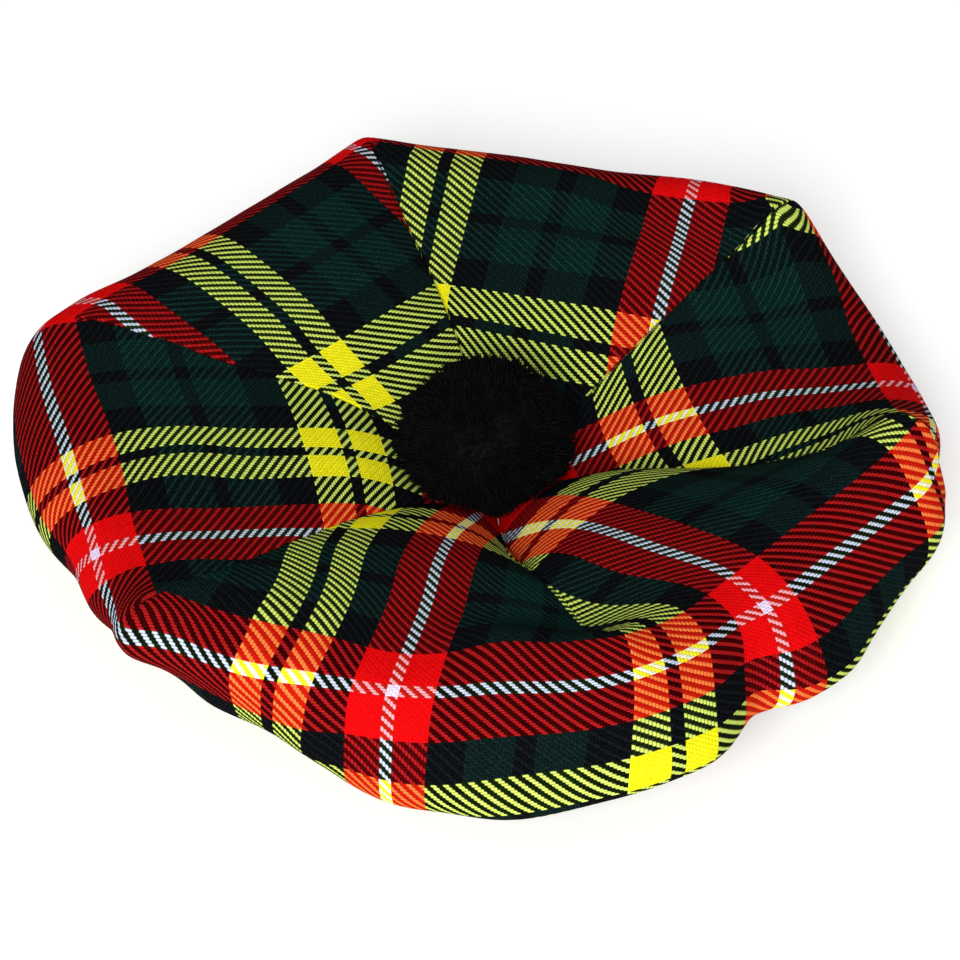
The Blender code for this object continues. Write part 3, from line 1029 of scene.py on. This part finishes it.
def scatter_nodes(name, tuft, holder, root_area):
    """Geometry nodes that stand the ends on a ball's faces and make one mesh of them."""
    group = bpy.data.node_groups.new(name, "GeometryNodeTree")
    for in_out in ("INPUT", "OUTPUT"):
        group.interface.new_socket("Geometry", in_out=in_out, socket_type="NodeSocketGeometry")
    ball = add_node(group, "NodeGroupInput")
    roots = add_node(group, "GeometryNodeDistributePointsOnFaces", {
        "Mesh": ball.outputs[0], "Density": tuft.count / root_area, "Seed": tuft.sides,
    })
    ends = add_node(group, "GeometryNodeCollectionInfo", {
        "Collection": holder, "Separate Children": True, "Reset Children": True,
    })

    # Each end is one of the kinds, has its own size and tilt, and leans over with its clump
    kinds = {4: 0, 5: tuft.kinds - 1}
    kind = add_node(group, "FunctionNodeRandomValue", kinds, data_type="INT")
    sizes = {2: END_SIZES[0], 3: END_SIZES[1], "Seed": 9}
    size = add_node(group, "FunctionNodeRandomValue", sizes, data_type="FLOAT")
    most = (tuft.tilt, tuft.tilt, math.pi)
    tilts = {0: tuple(-angle for angle in most), 1: most, "Seed": 5}
    tilt = add_node(group, "FunctionNodeRandomValue", tilts, data_type="FLOAT_VECTOR")
    place = add_node(group, "GeometryNodeInputPosition").outputs[0]
    clump_noise = {"Vector": place, "Scale": 1 / CLUMP_SIZE, "Detail": 0.0}
    clump = add_node(group, "ShaderNodeTexNoise", clump_noise).outputs["Color"]
    lean = add_node(group, "ShaderNodeVectorMath", {
        0: clump, 1: (CLUMP_LEAN, CLUMP_LEAN, 0.0), 2: (-CLUMP_LEAN / 2, -CLUMP_LEAN / 2, 0.0),
    }, operation="MULTIPLY_ADD")
    angles = {0: tilt.outputs[0], 1: lean.outputs[0]}
    angles = add_node(group, "ShaderNodeVectorMath", angles, operation="ADD")
    turn = add_node(group, "FunctionNodeEulerToRotation", {0: angles.outputs[0]})
    turns = {0: roots.outputs["Rotation"], 1: turn.outputs[0]}
    turned = add_node(group, "FunctionNodeRotateRotation", turns, rotation_space="LOCAL")

    stood = add_node(group, "GeometryNodeInstanceOnPoints", {
        "Points": roots.outputs["Points"], "Instance": ends.outputs[0], "Pick Instance": True,
        "Instance Index": kind.outputs[2], "Rotation": turned.outputs[0], "Scale": size.outputs[1],
    })
    real = add_node(group, "GeometryNodeRealizeInstances", {0: stood.outputs[0]})
    add_node(group, "NodeGroupOutput", {0: real.outputs[0]})
    return group


def pompom_ball(radius, wave, rise):
    """A ball in the pompom's middle whose face is uneven by waves of a length and a height."""
    bm = bmesh.new()
    bmesh.ops.create_icosphere(bm, subdivisions=4, radius=radius)
    bmesh.ops.translate(bm, verts=bm.verts, vec=POMPOM_MIDDLE)
    for vert in bm.verts:
        vert.co += vert.normal * noise.noise(vert.co / wave) * rise * MM
    return bm


def cloth_height(crown, x, y):
    """Height of the cloth at a place, taken a little to each side as well, to bridge the seams."""
    down = Vector((0, 0, -1))
    heights = [CROWN_MIDDLE_HEIGHT]
    for across, out in ((0, 0), (1, 0), (-1, 0), (0, 1), (0, -1)):
        above = Vector((x + across * SEAM_BRIDGE, y + out * SEAM_BRIDGE, HIGH_ABOVE))
        hit = crown.ray_cast(above, down)[0]
        if hit:
            heights.append(hit.z)
    return max(heights)


def keep_above_crown(mesh, crown):
    """Lift what would reach into the cloth below or between two gores."""
    for vert in mesh.vertices:
        if vert.co.z < POMPOM_MIDDLE.z:
            cloth = cloth_height(crown, vert.co.x, vert.co.y)
            vert.co.z = max(vert.co.z, cloth + POMPOM_CLEARANCE)


def make_tufts(name, tuft, finish, crown):
    """All the ends of one kind as one mesh, standing on an uneven ball that is then taken away."""
    holder = bpy.data.collections.new(name + " ends")
    for kind in range(tuft.kinds):
        make_end(tuft, kind, holder)
    bm = pompom_ball(POMPOM_RADIUS - POMPOM_TRIM - tuft.length + tuft.past, ROOT_WAVE, ROOT_RISE)
    root_area = sum(face.calc_area() for face in bm.faces)
    base = add_piece(name + "_base", bm, finish)
    scatter = base.modifiers.new("standing ends", "NODES")
    scatter.node_group = scatter_nodes(name, tuft, holder, root_area)
    grown = base.evaluated_get(bpy.context.evaluated_depsgraph_get())
    mesh = bpy.data.meshes.new_from_object(grown)
    bpy.data.objects.remove(base, do_unlink=True)
    for end in list(holder.objects):
        bpy.data.objects.remove(end, do_unlink=True)
    bpy.data.collections.remove(holder)
    mesh.materials.clear()
    mesh.materials.append(finish)
    keep_above_crown(mesh, crown)
    tufts = bpy.data.objects.new(name, mesh)
    bpy.context.scene.collection.objects.link(tufts)
    return tufts


def make_pompom(finish, crown):
    """A core, with cut ends of yarn and finer fibres all round it."""
    core_bm = pompom_ball(POMPOM_RADIUS * CORE_SHARE, CORE_WAVE, CORE_RISE)
    core = add_piece("pompom_core", core_bm, finish)
    keep_above_crown(core.data, crown)
    yarn = make_tufts("pompom_yarn_ends", YARN_ENDS, finish, crown)
    fibres = make_tufts("pompom_fibres", FIBRES, finish, crown)
    for piece in (core, yarn, fibres):
        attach(piece, "root")
    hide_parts("pompom")


# ---------- Floor, light and camera ----------

CAMERA_ELEVATION = math.radians(38.7)
CAMERA_DISTANCE = 1.1
CAMERA_LENS = 136.1
PICTURE_SIZE = 960
CROWN_MIDDLE_PIXEL = (495.7, 492.4)
SENSOR_WIDTH = 36.0

FLOOR_SIZE = 6.0
FLOOR_GLOW = 0.32
ROOM_LIGHT = 0.38
LIT_POINT = Vector((0.0, 0.0, 0.03))
Lamp = namedtuple("Lamp", "name place size power")
LAMPS = [
    Lamp("key light", Vector((-0.25, -1.7, 1.05)), 0.8, 41.0),
    Lamp("top light", Vector((0.3, 0.6, 1.7)), 1.0, 3.0),
]


def make_floor():
    bm = bmesh.new()
    bmesh.ops.create_grid(bm, x_segments=1, y_segments=1, size=FLOOR_SIZE)
    finish = Finish("pale floor")
    finish.cover((0.9, 0.9, 0.9, 1.0), roughness=0.9, shine=0.1)
    finish.shader.inputs["Emission Strength"].default_value = FLOOR_GLOW
    floor = add_piece("floor", bm, finish.material)


def aimed_at(place, goal):
    """Rotation of a lamp or camera at a place that looks at a goal."""
    return (goal - place).to_track_quat("-Z", "Y").to_euler()


def add_light(lamp):
    light = bpy.data.lights.new(lamp.name, "AREA")
    light.shape = "DISK"
    light.size = lamp.size
    light.energy = lamp.power
    hung = bpy.data.objects.new(lamp.name, light)
    hung.location = lamp.place
    hung.rotation_euler = aimed_at(lamp.place, LIT_POINT)
    bpy.context.scene.collection.objects.link(hung)


def set_stage():
    """Pale room, lights, and the camera at the photo's angle."""
    scene = bpy.context.scene
    scene.view_settings.view_transform = "Standard"
    world = bpy.data.worlds.new("pale room")
    world.use_nodes = True
    background = world.node_tree.nodes["Background"]
    background.inputs["Color"].default_value = (1.0, 1.0, 1.0, 1.0)
    background.inputs["Strength"].default_value = ROOM_LIGHT
    scene.world = world
    for lamp in LAMPS:
        add_light(lamp)

    aim = Vector((0.0, 0.0, CROWN_MIDDLE_HEIGHT))
    camera_data = bpy.data.cameras.new("camera")
    camera_data.lens = CAMERA_LENS
    camera_data.sensor_width = SENSOR_WIDTH
    camera_data.shift_x = -(CROWN_MIDDLE_PIXEL[0] - PICTURE_SIZE / 2) / PICTURE_SIZE
    camera_data.shift_y = (CROWN_MIDDLE_PIXEL[1] - PICTURE_SIZE / 2) / PICTURE_SIZE
    camera = bpy.data.objects.new("camera", camera_data)
    back = Vector((0.0, -math.cos(CAMERA_ELEVATION), math.sin(CAMERA_ELEVATION)))
    camera.location = aim + CAMERA_DISTANCE * back
    camera.rotation_euler = aimed_at(camera.location, aim)
    scene.collection.objects.link(camera)
    scene.camera = camera


# ---------- The hat ----------

def crown_tree(pieces):
    """The crown's cloth, to drop the pompom on."""
    whole = bmesh.new()
    for piece in pieces:
        whole.from_mesh(piece.data)
    tree = BVHTree.FromBMesh(whole)
    whole.free()
    return tree


make_floor()
set_stage()
tartan = tartan_finish()
gores = [Gore(name) for name in GORE_LINES]
crown_pieces = [
    make_gore(gore, (gores[i - 1], gores[(i + 1) % len(gores)]), tartan)
    for i, gore in enumerate(gores)
]
make_headband(band_finish())
make_pompom(yarn_finish(), crown_tree(crown_pieces))
